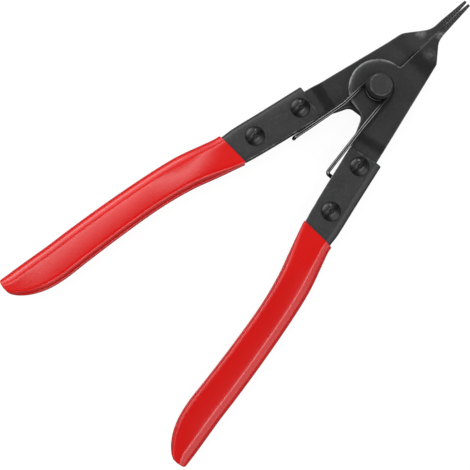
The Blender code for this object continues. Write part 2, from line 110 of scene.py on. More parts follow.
def rounded_corner(before: Vector, corner: Vector, after: Vector, radius: float,
                   count: int) -> Ring:
    """Round the corner between two straight runs.

    Args:
        before: A point on the run into the corner.
        corner: The sharp corner.
        after: A point on the run out of it.
        radius: Radius of the arc; less is used where the runs are too short for it.
        count: How many steps the arc takes.

    Returns:
        count + 1 points, or the corner alone where the runs don't turn.
    """
    back, ahead = (before - corner).normalized(), (after - corner).normalized()
    opening = acos(max(-1.0, min(1.0, back.dot(ahead))))
    if pi - opening < STRAIGHT or radius <= 0:
        return [corner.copy()]
    shorter = min((before - corner).length, (after - corner).length)
    reach = min(radius / tan(opening / 2), MOST_OF_HALF * shorter)
    radius = reach * tan(opening / 2)
    centre = corner + (back + ahead).normalized() * (radius / sin(opening / 2))
    start, end = corner + back * reach - centre, corner + ahead * reach - centre
    turn, shares = pi - opening, [i / count for i in range(count + 1)]
    return [centre + start * (sin((1 - s) * turn) / sin(turn)) + end * (sin(s * turn) / sin(turn))
            for s in shares]


def arc(radius: float, start: float, end: float, step: float) -> Ring:
    """Draw an arc round the pivot.

    Args:
        radius: Its radius.
        start: The angle it starts at.
        end: The angle it ends at.
        step: Largest angle between two of its points.

    Returns:
        Its points, with both ends.
    """
    count = int(abs(end - start) / step) + 1
    angles = [start + (end - start) * i / count for i in range(count + 1)]
    return [Vector((radius * cos(a), radius * sin(a))) for a in angles]


def rounded_outline(corners: Sequence[tuple[Vector | Ring, float | None]], step: float) -> Ring:
    """Close an outline through corners and ready-made runs of points.

    Args:
        corners: (corner, radius) pairs, or (points, None) for a run that is kept as it is.
        step: Largest angle between two points of a rounded corner.

    Returns:
        The outline's points in the same order.
    """
    outline: Ring = []
    for i, (item, radius) in enumerate(corners):
        if radius is None:
            outline.extend(item)
            continue
        before, after = corners[i - 1][0], corners[(i + 1) % len(corners)][0]
        before = before[-1] if isinstance(before, list) else before
        after = after[0] if isinstance(after, list) else after
        turn = pi - (before - item).angle(after - item)
        outline.extend(rounded_corner(before, item, after, radius, max(2, int(turn / step) + 1)))
    return outline


def inset_outline(outline: Ring, amount: Callable[[Vector], float]) -> Ring:
    """Move an anticlockwise outline inwards.

    Args:
        outline: The outline.
        amount: How far each of its points goes.

    Returns:
        The moved points in the same order.
    """
    moved: Ring = []
    for i, point in enumerate(outline):
        before = (point - outline[i - 1]).normalized()
        after = (outline[(i + 1) % len(outline)] - point).normalized()
        inward = Vector((-(before.y + after.y), before.x + after.x)).normalized()
        lean = max(0.5, inward.dot(Vector((-after.y, after.x))))
        moved.append(point + inward * (amount(point) / lean))
    return moved


def smooth_through(points: Sequence[Pair], at: float) -> float:
    """Read a smooth curve.

    Args:
        points: The (place, value) points it passes through.
        at: The place.

    Returns:
        The value there, held beyond both ends.
    """
    if at <= points[0][0]:
        return points[0][1]
    if at >= points[-1][0]:
        return points[-1][1]
    i = max(k for k, p in enumerate(points[:-1]) if p[0] <= at)
    (x1, y1), (x2, y2) = points[i], points[i + 1]
    x0, y0 = points[max(i - 1, 0)]
    x3, y3 = points[min(i + 2, len(points) - 1)]
    share = (at - x1) / (x2 - x1)
    slope1 = (y2 - y0) / (x2 - x0) * (x2 - x1)
    slope2 = (y3 - y1) / (x3 - x1) * (x2 - x1)
    return (y1 * (1 + 2 * share) * (1 - share) ** 2 + slope1 * share * (1 - share) ** 2
            + y2 * share ** 2 * (3 - 2 * share) - slope2 * share ** 2 * (1 - share))


# Meshes

def extruded(rings: Sequence[Ring], wear_and_sheen: Sequence[float]) -> BMesh:
    """Extrude a face through rings of points of equal length.

    Args:
        rings: The rings in order; the first is the face that is extruded.
        wear_and_sheen: How much each ring is lightened, from 0 to 1, kept in the mesh's wear_and_sheen
            attribute: edge scuffing and painted highlight.

    Returns:
        A closed mesh, capped at both ends.
    """
    bm = bmesh.new()
    layer = bm.verts.layers.float.new("wear_and_sheen")
    order = [bm.verts.new(p) for p in rings[0]]
    for vert in order:
        vert[layer] = wear_and_sheen[0]
    face = bm.faces.new(order)
    for ring, worn_and_lit in zip(rings[1:], wear_and_sheen[1:]):
        made = bmesh.ops.extrude_face_region(bm, geom=[face, *face.edges, *face.verts])
        face = next(g for g in made["geom"] if isinstance(g, bmesh.types.BMFace))
        copies = {vert.co.to_tuple(): vert for vert in face.verts}
        order = [copies[vert.co.to_tuple()] for vert in order]
        for vert, place in zip(order, ring):
            vert.co = place
            vert[layer] = worn_and_lit
        bm.normal_update()
    return bm


def turned(profile: Sequence[Triple], centre: Vector, sides: int) -> BMesh:
    """Spin a profile into a solid about an upright axis.

    Args:
        profile: (radius, z, rounding) corners from the axis back to the axis.
        centre: Where the axis stands.
        sides: Steps of the spin.

    Returns:
        A closed mesh whose rounded corners are marked in its wear_and_sheen attribute, to be painted
        lighter: edge scuffing and painted highlight.
    """
    steps = 4
    points: list[tuple[Vector, float]] = []
    for i, (radius, z, rounding) in enumerate(profile):
        corner = Vector((radius, z))
        if rounding <= 0:
            points.append((corner, 0.0))
            continue
        before, after = Vector(profile[i - 1][:2]), Vector(profile[i + 1][:2])
        rounded = rounded_corner(before, corner, after, rounding, steps)
        points += [(p, 0.0 if k in (0, steps) else 1.0) for k, p in enumerate(rounded)]
    bm = bmesh.new()
    layer = bm.verts.layers.float.new("wear_and_sheen")
    verts = []
    for point, worn_and_lit in points:
        verts.append(bm.verts.new((centre.x + point.x, centre.y, point.y)))
        verts[-1][layer] = worn_and_lit
    edges = [bm.edges.new(pair) for pair in zip(verts, verts[1:])]
    bmesh.ops.spin(bm, geom=verts + edges, cent=(centre.x, centre.y, 0), axis=(0, 0, 1),
                   angle=2 * pi, steps=sides, use_merge=True)
    return bm


def add_mesh(name: str, bm: BMesh) -> Piece:
    """Merge doubles, turn the faces outwards and shade smooth.

    Args:
        name: Name of the piece.
        bm: Its mesh, which is freed.

    Returns:
        The piece, linked to the scene.
    """
    bmesh.ops.remove_doubles(bm, verts=bm.verts, dist=MERGE)
    bmesh.ops.recalc_face_normals(bm, faces=bm.faces)
    mesh = bpy.data.meshes.new(name)
    bm.to_mesh(mesh)
    bm.free()
    mesh.shade_smooth()
    mesh.set_sharp_from_angle(angle=SHARP)
    item = bpy.data.objects.new(name, mesh)
    bpy.context.scene.collection.objects.link(item)
    return item


def drill(item: Piece, holes: Sequence[tuple[Vector, float]]) -> None:
    """Cut upright round holes right through a piece.

    Args:
        item: The piece.
        holes: Centre and radius of each hole.
    """
    bm = bmesh.new()
    middle = Levels().mid_plane
    for centre, radius in holes:
        made = bmesh.ops.create_circle(bm, cap_ends=True, segments=HOLE_SIDES, radius=radius)
        bmesh.ops.translate(bm, verts=made["verts"], vec=(centre.x, centre.y, -middle))
        face = made["verts"][0].link_faces[0]
        top = bmesh.ops.extrude_face_region(bm, geom=[face, *face.edges, *face.verts])["geom"]
        lifted = [g for g in top if isinstance(g, bmesh.types.BMVert)]
        bmesh.ops.translate(bm, verts=lifted, vec=(0, 0, 4 * middle))
    cutter = add_mesh("cutter", bm)
    cut = item.modifiers.new("holes", "BOOLEAN")
    cut.operation, cut.solver, cut.object = "DIFFERENCE", "EXACT", cutter
    bpy.context.view_layer.update()
    solid = item.evaluated_get(bpy.context.evaluated_depsgraph_get())
    cut_mesh = bpy.data.meshes.new_from_object(solid)
    item.modifiers.clear()
    item.data = cut_mesh
    bpy.data.objects.remove(cutter)
    item.data.set_sharp_from_angle(angle=SHARP)


def hand_over(item: Piece, node: str, body: str, material: Material) -> None:
    """Dress a piece, let it ride on its body and stand for its CAD node.

    Args:
        item: The finished piece.
        node: The CAD node that it replaces.
        body: The CAD body that it rides on.
        material: Its finish.
    """
    item.data.materials.clear()
    item.data.materials.append(material)
    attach(item, body)
    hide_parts(node)
    LOG.info("%s: %d faces on %s", item.name, len(item.data.polygons), body)


# Shader graphs

class Value:
    """A number's socket that takes part in Python sums; each sum adds its Math node."""

    def __init__(self, graph: "Graph", socket: bpy.types.NodeSocket) -> None:
        """Keep the socket and the graph that it belongs to."""
        self.graph, self.socket = graph, socket

    def math(self, operation: str, *numbers: "Value | float") -> "Value":
        """Add a Math node on the given numbers, in order."""
        return self.graph.node("ShaderNodeMath", {"operation": operation},
                               dict(enumerate(numbers)))

    def __add__(self, other: "Value | float") -> "Value":
        """Sum."""
        return self.math("ADD", self, other)

    def __radd__(self, other: float) -> "Value":
        """Sum with the number first."""
        return self.math("ADD", other, self)

    def __sub__(self, other: "Value | float") -> "Value":
        """Difference."""
        return self.math("SUBTRACT", self, other)

    def __rsub__(self, other: float) -> "Value":
        """Difference with the number first."""
        return self.math("SUBTRACT", other, self)

    def __mul__(self, other: "Value | float") -> "Value":
        """Product."""
        return self.math("MULTIPLY", self, other)

    def over(self, start: float, end: float) -> "Value":
        """Smooth step of the value from 0 at start to 1 at end."""
        return self.graph.node(
            "ShaderNodeMapRange", {"interpolation_type": "SMOOTHSTEP", "clamp": True},
            {"Value": self, "From Min": start, "From Max": end, "To Min": 0.0, "To Max": 1.0})

    def size(self) -> "Value":
        """The value without its sign."""
        return self.math("ABSOLUTE", self)

    def held(self) -> "Value":
        """The value held between 0 and 1."""
        return self.graph.node("ShaderNodeMath", {"operation": "ADD", "use_clamp": True},
                               {0: self, 1: 0.0})


class Graph:
    """A node tree, and the one method that adds a node of any type to it."""

    def __init__(self, tree: bpy.types.NodeTree) -> None:
        """Take the tree and empty it."""
        self.tree = tree
        tree.nodes.clear()

    @classmethod
    def of_material(cls, name: str) -> tuple[Material, "Graph"]:
        """Make a named material.

        Args:
            name: Its name.

        Returns:
            The material and its empty graph.
        """
        material = bpy.data.materials.new(name)
        material.use_nodes = True
        return material, cls(material.node_tree)

    def node(self, kind: str, settings: dict[str, object] | None = None,
             inputs: dict[str | int, object] | None = None, output: str | int = 0) -> Value:
        """Add a node.

        Args:
            kind: The node's Blender type.
            settings: Its properties, set first; stops holds a ramp's (place, colour) stops.
            inputs: Plain values, or Values to link, by socket name or number.
            output: The output that the caller wants.

        Returns:
            That output.
        """
        made = self.tree.nodes.new(kind)
        for key, value in (settings or {}).items():
            if key == "stops":
                self._set_stops(made.color_ramp, value)
            else:
                setattr(made, key, value)
        for key, value in (inputs or {}).items():
            if isinstance(value, Value):
                self.tree.links.new(value.socket, made.inputs[key])
            else:
                made.inputs[key].default_value = value
        return Value(self, made.outputs[output]) if made.outputs else Value(self, made.inputs[0])

    @staticmethod
    def _set_stops(ramp: bpy.types.ColorRamp, stops: Sequence[tuple[float, Colour]]) -> None:
        """Set the stops of a colour ramp.

        Args:
            ramp: The ramp.
            stops: Place and colour of each stop.
        """
        while len(ramp.elements) < len(stops):
            ramp.elements.new(1.0)
        for element, (place, colour) in zip(ramp.elements, stops):
            element.position, element.color = place, (*colour, 1.0)

    def place(self) -> Value:
        """Object coordinates."""
        return self.node("ShaderNodeTexCoord", output="Object")

    def stretched(self, scale: Triple, turn: float = 0.0) -> Value:
        """Object coordinates stretched along the axes after a turn about Z."""
        turned_to = self.node("ShaderNodeMapping", {"vector_type": "POINT"},
                              {"Vector": self.place(), "Rotation": (0.0, 0.0, turn)})
        return self.node("ShaderNodeVectorMath", {"operation": "MULTIPLY"},
                         {0: turned_to, 1: scale})

    def noise(self, vector: Value, scale: float, detail: float = 3.0) -> Value:
        """Fractal noise around 0.5."""
        return self.node("ShaderNodeTexNoise", {"noise_dimensions": "3D"},
                         {"Vector": vector, "Scale": scale, "Detail": detail,
                          "Roughness": NOISE_ROUGHNESS})

    def near(self, centre: Triple, radius: float) -> Value:
        """1 at a point of the object, falling smoothly to 0 at a radius round it."""
        distance = self.node("ShaderNodeVectorMath", {"operation": "DISTANCE"},
                             {0: self.place(), 1: centre}, output="Value")
        return 1.0 - distance.over(0.0, radius)

    def mix(self, share: Value | float, first: Value | Colour, second: Value | Colour) -> Value:
        """Mix two colours."""
        pair = [c if isinstance(c, Value) else (*c, 1.0) for c in (first, second)]
        return self.node("ShaderNodeMix", {"data_type": "RGBA"},
                         {0: share, MIX_FIRST: pair[0], MIX_SECOND: pair[1]}, MIX_RESULT)

    def bump(self, height: Value, depth: float) -> Value:
        """A normal bumped by a height whose full range is a depth in metres."""
        return self.node("ShaderNodeBump", None,
                         {"Strength": 1.0, "Distance": depth, "Height": height})

    def surface(self, inputs: dict[str | int, object]) -> None:
        """End the graph in a Principled shader with these inputs."""
        shader = self.node("ShaderNodeBsdfPrincipled", None, inputs)
        self.node("ShaderNodeOutputMaterial", None, {"Surface": shader})


# Finishes

@dataclass(frozen=True)
class LitAndScuffedSpot:
    """A lighter patch on a nose bend: scuffed steel, and painted highlight where the bend catches light."""

    centre: Triple
    radius: float
    strength: float


@dataclass(frozen=True)
class BlackOxide:
    """Blackened steel: cloudy, finely grained, and painted lighter on its edges, partly for scuffing and
    partly as painted highlight.
    """

    name: str
    colour: Colour
    roughness: float = 0.36
    specular: float = 0.5
    # lighter colour for marked edges and spots: scuffed steel, and painted highlight where edges and bends
    # catch light
    bare: Colour = (0.36, 0.36, 0.365)
    edge_wear_and_sheen: float = 0.45
    patchy: Pair = (0.38, 0.70)
    cloud: float = 0.12
    grain_depth: float = 0.00004
    spots: tuple[LitAndScuffedSpot, ...] = ()
    hatch_from: float | None = None
    cloud_scale: float = 130.0
    cloud_band: Pair = (0.35, 0.65)
    speckle_scale: float = 1200.0
    speckle_band: Pair = (0.5, 0.75)
    speckle_light: float = 2.2
    speckle_share: float = 0.6
    speckle_height: float = 0.3
    grain_scale: float = 900.0
    grain_stretch: Triple = (1.0, 5.0, 5.0)
    grain_turn: float = radians(20)
    grain_height: float = 0.7
    patch_scale: float = 420.0
    spot_scale: float = 700.0
    spot_band: Pair = (0.3, 0.65)
    polish: float = 0.12
    tooth_scale: float = 260.0
    tooth_waver: float = 0.6
    tooth_lean: float = radians(38)
    tooth_height: float = 6.0
    tooth_crest: Pair = (1.1, 1.8)
    tooth_wear: float = 0.13
    tooth_fade: float = 0.002

    def material(self) -> Material:
        """Build the material.

        Returns:
            The finish as a material on Object coordinates.
        """
        material, graph = Graph.of_material(self.name)
        place = graph.place()
        cloud = graph.noise(place, self.cloud_scale, 4.0)
        speckle = graph.noise(place, self.speckle_scale, 2.0)
        grain = graph.noise(graph.stretched(self.grain_stretch, self.grain_turn), self.grain_scale)
        dark, light, bright = (tuple(c * k for c in self.colour)
                               for k in (1 - self.cloud, 1 + self.cloud, self.speckle_light))
        base = graph.mix(cloud.over(*self.cloud_band), dark, light)
        base = graph.mix(speckle.over(*self.speckle_band) * self.speckle_share, base, bright)
        # marked edges and spots are painted lighter: partly scuffed steel, partly painted highlight
        wear_and_sheen = graph.node("ShaderNodeAttribute", {"attribute_name": "wear_and_sheen"}, output="Fac")
        lightened = wear_and_sheen * graph.noise(place, self.patch_scale).over(*self.patchy) * self.edge_wear_and_sheen
        for spot in self.spots:
            patch = graph.near(spot.centre, spot.radius) * spot.strength
            broken = graph.noise(place, self.spot_scale, 4.0).over(*self.spot_band)
            lightened = lightened + patch * broken
        height = grain * self.grain_height + speckle * self.speckle_height
        if self.hatch_from is not None:
            teeth = self._hatch(graph)
            height = height + teeth * self.tooth_height
            lightened = lightened + teeth.over(*self.tooth_crest) * self.tooth_wear
        lightened = lightened.held()
        graph.surface({
            "Base Color": graph.mix(lightened, base, self.bare),
            "Roughness": self.roughness + (cloud - 0.5) * self.cloud - lightened * self.polish,
            "Specular IOR Level": self.specular,
            "Normal": graph.bump(height, self.grain_depth)})
        return material

    def _hatch(self, graph: Graph) -> Value:
        """Cut crossed file teeth on the gripping tips, beyond a distance from the pivot.

        Args:
            graph: The finish's graph.

        Returns:
            The teeth's height, from 0 to 2.
        """
        left, right = (
            graph.node("ShaderNodeTexWave", {"wave_type": "BANDS", "bands_direction": "X"},
                       {"Vector": graph.stretched((1.0, 1.0, 1.0), lean),
                        "Scale": self.tooth_scale, "Distortion": self.tooth_waver}, output="Fac")
            for lean in (self.tooth_lean, -self.tooth_lean))
        along = graph.node("ShaderNodeSeparateXYZ", None, {"Vector": graph.place()}, output="X")
        return (left + right) * along.over(self.hatch_from, self.hatch_from + self.tooth_fade)


@dataclass(frozen=True)
class Vinyl:
    """Dipped vinyl: glossy, even red with a slow ripple and a faint bloom."""

    name: str
    colour: Colour
    deep: Colour
    roughness: float = 0.21
    coat: float = 0.20
    coat_roughness: float = 0.12
    ripple_depth: float = 0.00004
    ripple_scale: float = 60.0
    ripple_stretch: Triple = (0.35, 1.0, 1.0)
    ripple_band: Pair = (0.35, 0.7)
    bloom_scale: float = 1400.0
    bloom: float = 0.10
    bloom_height: float = 0.03

    def material(self) -> Material:
        """Build the material.

        Returns:
            The finish as a material on Object coordinates.
        """
        material, graph = Graph.of_material(self.name)
        slow = graph.noise(graph.stretched(self.ripple_stretch), self.ripple_scale, 2.0)
        fine = graph.noise(graph.place(), self.bloom_scale, 2.0)
        graph.surface({
            "Base Color": graph.mix(slow.over(*self.ripple_band), self.deep, self.colour),
            "Roughness": self.roughness + (fine - 0.5) * self.bloom,
            "Coat Weight": self.coat,
            "Coat Roughness": self.coat_roughness,
            "Normal": graph.bump(slow + fine * self.bloom_height, self.ripple_depth)})
        return material


@dataclass(frozen=True)
class PaleTable:
    """A white table that glows a little for the camera and keeps a soft shadow."""

    albedo: float = 0.22
    glow: float = 0.92
    shade: float = 0.14

    def material(self) -> Material:
        """Build the material.

        Returns:
            The table's material.
        """
        material, graph = Graph.of_material("table_white")
        seen = graph.node("ShaderNodeLightPath", output="Is Camera Ray")
        plain = graph.node("ShaderNodeBsdfDiffuse", None, {"Color": (*[self.albedo] * 3, 1.0)})
        faint = graph.node("ShaderNodeBsdfDiffuse", None, {"Color": (*[self.shade] * 3, 1.0)})
        light = graph.node("ShaderNodeEmission", None, {"Strength": self.glow})
        bright = graph.node("ShaderNodeAddShader", None, {0: faint, 1: light})
        shown = graph.node("ShaderNodeMixShader", None, {0: seen, 1: plain, 2: bright})
        graph.node("ShaderNodeOutputMaterial", None, {"Surface": shown})
        return material


# The pliers

@dataclass(frozen=True)
class Levels:
    """Heights over the table, from the peened tail of the pin upwards."""

    tail: float = 0.0016
    plate: float = 0.0048
    wire_radius: float = 0.00085
    coil_pitch: float = 0.00185
    coil_turns: float = 1.5
    head: float = 0.0050

    @property
    def mid_plane(self) -> float:
        """The plane between the two bosses, where tangs, noses and channels lie."""
        return self.tail + PLAY + self.plate + PLAY / 2

    @property
    def set_over(self) -> float:
        """How far the middle of a boss lies from the mid plane."""
        return (self.plate + PLAY) / 2

    @property
    def coil_bottom(self) -> float:
        """The coil sits here, just over the front boss."""
        return self.mid_plane + PLAY / 2 + self.plate + PLAY

    @property
    def head_bottom(self) -> float:
        """Underside of the pin's head."""
        return self.coil_bottom + self.coil_turns * self.coil_pitch + 2 * self.wire_radius + PLAY

    @property
    def head_top(self) -> float:
        """Flat face of the pin's head."""
        return self.head_bottom + self.head


@dataclass(frozen=True)
class HandleLine:
    """The line of a handle: u runs along it from the pivot, v square to it, outboard."""

    side: Side
    angle: float = radians(12.6)

    @property
    def along(self) -> Vector:
        """Unit vector from the pivot along the handle."""
        return Vector((-cos(self.angle), self.side.sign * sin(self.angle)))

    @property
    def outboard(self) -> Vector:
        """Unit vector square to the handle, away from the other one."""
        return Vector((sin(self.angle), self.side.sign * cos(self.angle)))

    def point(self, u: float, v: float) -> Vector:
        """Plan position of a place on the handle."""
        return self.along * u + self.outboard * v


@dataclass(frozen=True)
class RivetRow:
    """The two rivets that hold a channel on its tang."""

    shank: float = 0.0025
    head_radius: float = 0.0042
    head_height: float = 0.0020
    rim_height: float = 0.0003
    rim_chamfer: float = 0.0001
    dome_angle: float = radians(64)
    dome_steps: int = 20
    sides: int = 64
    dimple: float = 0.00010
    dimple_radius: float = 0.0013
    us: Pair = (0.03295, 0.05595)
    v: float = 0.01095
    seat: float = 0.0046

    def holes(self, line: HandleLine) -> list[tuple[Vector, float]]:
        """Centres and radii of the holes that the rivets pass through."""
        return [(line.point(u, self.v), self.shank + PLAY) for u in self.us]

    def build(self, line: HandleLine, finish: Material) -> None:
        """Turn both rivets of one handle.

        Args:
            line: The handle that they hold.
            finish: Their material.
        """
        middle = Levels().mid_plane
        for place, u in zip(("by_jaw", "by_grip"), self.us):
            name = f"rivet_{line.side.value}_{place}"
            top = [(r, middle + z, k) for r, z, k in self._dome()]
            bottom = [(r, middle - z, k) for r, z, k in reversed(self._dome())]
            profile = bottom + [(self.shank, middle - self.seat, 0.0),
                                (self.shank, middle + self.seat, 0.0)] + top
            item = add_mesh(f"fine_{name}", turned(profile, line.point(u, self.v), self.sides))
            hand_over(item, name, line.side.body, finish)

    def _dome(self) -> list[Triple]:
        """Draw the profile of a head.

        Returns:
            (radius, height over the mid plane, rounding), from the rim to the dimpled middle.
        """
        rim = self.seat + self.rim_height
        rise = (self.head_height - self.rim_height) / (1 - cos(self.dome_angle))
        points = [(self.head_radius - self.rim_chamfer, self.seat, 0.0),
                  (self.head_radius, rim - self.rim_chamfer, 0.0)]
        for k in range(self.dome_steps):
            angle = self.dome_angle * (1 - k / self.dome_steps)
            points.append((self.head_radius * sin(angle) / sin(self.dome_angle),
                           rim + rise * (cos(angle) - cos(self.dome_angle)), 0.0))
        points.append((0.0, self.seat + self.head_height, 0.0))
        return [(r, z - self.dimple * (1 - ease(r / self.dimple_radius)), k)
                for r, z, k in points]


@dataclass(frozen=True)
class Jaw:
    """A blanked jaw plate whose tang and nose are set over from its boss."""

    side: Side
    name: str
    boss_side: int
    shoulder: Pair
    shoulder_round: float
    neck: Pair
    tip_start: Pair
    boss_radius: float = 0.0130
    boss_start: float = radians(-162)
    notch_round: float = 0.0024
    crotch: Pair = (-0.0133, 0.0033)
    crotch_round: float = 0.0036
    closing_angle: float = radians(-0.7)
    closing_play: float = 0.00008
    neck_round: float = 0.0095
    tip_reach: float = 0.0548
    tip_end: Pair = (0.00160, 0.00115)
    tip_relief: float = 0.0050
    tip_thickness: Pair = (0.0034, 0.0026)
    tip_step: float = 0.0022
    tang_bend: Pair = (0.0185, 0.0250)
    nose_bend: Pair = (0.0165, 0.0265)
    tang_inner: float = 0.0034
    tang_outer: float = 0.0169
    tang_recess: Pair = (0.0395, 0.0049)
    tang_end: float = 0.06255
    tang_corner: float = 0.0030
    channel_front: float = 0.02775
    pin_hole: float = 0.0045
    roll: float = 0.00055
    tip_roll: float = 0.00030
    tip_roll_fade: Pair = (0.034, 0.008)
    boss_roll: Pair = (0.0024, 0.0009)
    boss_roll_end: Pair = (0.0145, 0.003)
    boss_roll_side: Pair = (0.0005, 0.002)
    flat_ring: float = 1.25
    lightened_from: float = 0.05
    arc_step: float = radians(4)
    bend_steps: int = 14
    tip_steps: int = 4
    edge_steps: int = 7

    def _outline(self) -> Ring:
        """Draw the plan of the plate with its tang and nose on the +Y side.

        Returns:
            The outline, anticlockwise.
        """
        line = HandleLine(Side.LEFT)
        closing = self.closing_angle * self.side.sign
        turn_c, turn_s = cos(closing), sin(closing)

        def nose(x: float, y: float) -> Vector:
            """A corner of the nose, turned round the pivot until the tips close."""
            return Vector((x * turn_c - y * turn_s, x * turn_s + y * turn_c))

        notch_x = (self.boss_radius ** 2 - self.closing_play ** 2) ** 0.5
        boss = arc(self.boss_radius, self.boss_start, -self.notch_round / self.boss_radius,
                   self.arc_step)
        half_width, width = self.tip_end
        return rounded_outline([
            (Vector(self.crotch), self.crotch_round),
            (boss, None),
            (nose(notch_x, self.closing_play), self.notch_round / 2),
            (nose(self.tip_reach - self.tip_relief, self.closing_play), 0),
            (nose(self.tip_reach, half_width - width), 0),
            (nose(self.tip_reach, half_width), 0),
            (nose(*self.tip_start), 0),
            (nose(*self.neck), self.neck_round),
            (nose(*self.shoulder), self.shoulder_round),
            (line.point(self.tang_end, self.tang_outer), self.tang_corner),
            (line.point(self.tang_end, self.tang_recess[1]), self.tang_corner),
            (line.point(*self.tang_recess), 0),
            (line.point(self.channel_front, self.tang_inner), 0),
        ], self.arc_step)

    def _edge_roll(self, point: Vector) -> Pair:
        """Size the rolled edge: broad round the boss, fine on the tip.

        Args:
            point: A point of the outline.

        Returns:
            Width and depth of the roll there.
        """
        (side, side_fade), (end, end_fade) = self.boss_roll_side, self.boss_roll_end
        boss = ease((side - self.side.sign * point.y) / side_fade)
        boss *= ease((end - point.x) / end_fade)
        tip_start, tip_fade = self.tip_roll_fade
        fine = self.roll + (self.tip_roll - self.roll) * ease((point.x - tip_start) / tip_fade)
        width, depth = (fine + (broad - fine) * boss for broad in self.boss_roll)
        return width, depth

    def _level(self, x: float, u: float) -> float:
        """Give the set of the plate.

        Args:
            x: Distance from the pivot towards the tips.
            u: Distance from it along the handle.

        Returns:
            Height of the plate's middle over the mid plane.
        """
        share = 1.0
        for place, (start, end) in ((u, self.tang_bend), (x, self.nose_bend)):
            share = min(share, max(0.0, (end - place) / (end - start)))
        return self.boss_side * Levels().set_over * ease(share)

    def _thickness(self, x: float) -> float:
        """Give the thickness of the plate.

        Args:
            x: Distance from the pivot towards the tips.

        Returns:
            The thickness there, which is less on the tip.
        """
        full, (start, end) = Levels().plate, self.tip_thickness
        if x <= self.tip_start[0]:
            return full + (start - full) * ease((x - self.tip_start[0] + self.tip_step)
                                                / self.tip_step)
        share = (x - self.tip_start[0]) / (self.tip_reach - self.tip_start[0])
        return start + (end - start) * share

    def build(self, finish: Material, slot: str) -> None:
        """Blank, round, set over and drill the plate.

        Args:
            finish: Its material.
            slot: The record's slot for it; not used.
        """
        half = Levels().plate / 2
        outline = self._outline()
        if self.side is Side.RIGHT:
            outline = [Vector((p.x, -p.y)) for p in reversed(outline)]
        shares = [k / self.edge_steps for k in range(self.edge_steps + 1)]
        rounding = [(1 - sin(pi / 2 * s), 1 - cos(pi / 2 * s), float(s < 1)) for s in shares]
        steps = [(self.flat_ring, 0.0, 0.0)] + rounding
        rings, wear_and_sheen = [], []
        for sign, run in ((-1, steps), (1, list(reversed(steps)))):
            for inset, rise, worn_and_lit in run:
                moved = inset_outline(outline, lambda p, k=inset: k * self._edge_roll(p)[0])
                rings.append([Vector((m.x, m.y, sign * (half - rise * self._edge_roll(p)[1])))
                              for m, p in zip(moved, outline)])
                # rolled edges are painted lighter past a little rise: edge scuffing, and on the broad boss
                # roll a painted highlight
                wear_and_sheen.append(worn_and_lit * ease(2 * (rise - self.lightened_from)))
        bm = extruded(rings, wear_and_sheen)
        self._set_over(bm)
        item = add_mesh(f"fine_{self.name}", bm)
        line = HandleLine(self.side)
        drill(item, [(Vector((0, 0)), self.pin_hole)] + RivetRow().holes(line))
        hand_over(item, self.name, self.side.body, finish)

    def _set_over(self, bm: BMesh) -> None:
        """Cut the flat plate along its bend lines and lift each strip to its level.

        Args:
            bm: The plate's mesh, changed in place.
        """
        line = HandleLine(self.side)
        tip = self.tip_start[0]
        cuts: list[tuple[Vector, float]] = []
        for direction, (start, end), count in (
                (line.along.to_3d(), self.tang_bend, self.bend_steps),
                (Vector((1, 0, 0)), self.nose_bend, self.bend_steps),
                (Vector((1, 0, 0)), (tip, tip - self.tip_step), self.tip_steps)):
            cuts += [(direction, start + (end - start) * i / count) for i in range(count + 1)]
        for direction, place in cuts:
            bmesh.ops.bisect_plane(bm, geom=[*bm.verts, *bm.edges, *bm.faces], dist=MERGE,
                                   plane_co=direction * place, plane_no=direction)
        for vert in bm.verts:
            level = self._level(vert.co.x, vert.co.xy.dot(line.along))
            scale = self._thickness(vert.co.x) / Levels().plate
            vert.co.z = Levels().mid_plane + level + vert.co.z * scale


@dataclass(frozen=True)
class PivotPin:
    """The pivot rivet: a turned head with a flat face, and a peened tail."""

    radius: float = 0.0042
    tail_radius: float = 0.0056
    tail_chamfer: float = 0.0006
    head_radius: float = 0.0056
    face_radius: float = 0.0047
    chamfer_height: float = 0.0032
    face_land: float = 0.0008
    dish: float = 0.00004
    tail_round: float = 0.0003
    foot_round: float = 0.0002
    shoulder_round: float = 0.0004
    face_round: float = 0.00025
    broken_edge: float = 0.0001
    sides: int = 96

    def build(self, finish: Material) -> None:
        """Turn the pin.

        Args:
            finish: Its material.
        """
        levels = Levels()
        profile = [
            (0.0, 0.0, 0.0),
            (self.tail_radius - self.tail_chamfer, 0.0, self.tail_round),
            (self.tail_radius, self.tail_chamfer, self.tail_round),
            (self.tail_radius, levels.tail, self.broken_edge),
            (self.radius, levels.tail, 0.0),
            (self.radius, levels.head_bottom, 0.0),
            (self.head_radius, levels.head_bottom, self.foot_round),
            (self.head_radius, levels.head_top - self.chamfer_height, self.shoulder_round),
            (self.face_radius, levels.head_top, self.face_round),
            (self.face_radius - self.face_land, levels.head_top, self.broken_edge),
            (0.0, levels.head_top - self.dish, 0.0),
        ]
        item = add_mesh("fine_pivot_pin", turned(profile, Vector((0, 0)), self.sides))
        hand_over(item, "pivot_pin", Side.RIGHT.body, finish)


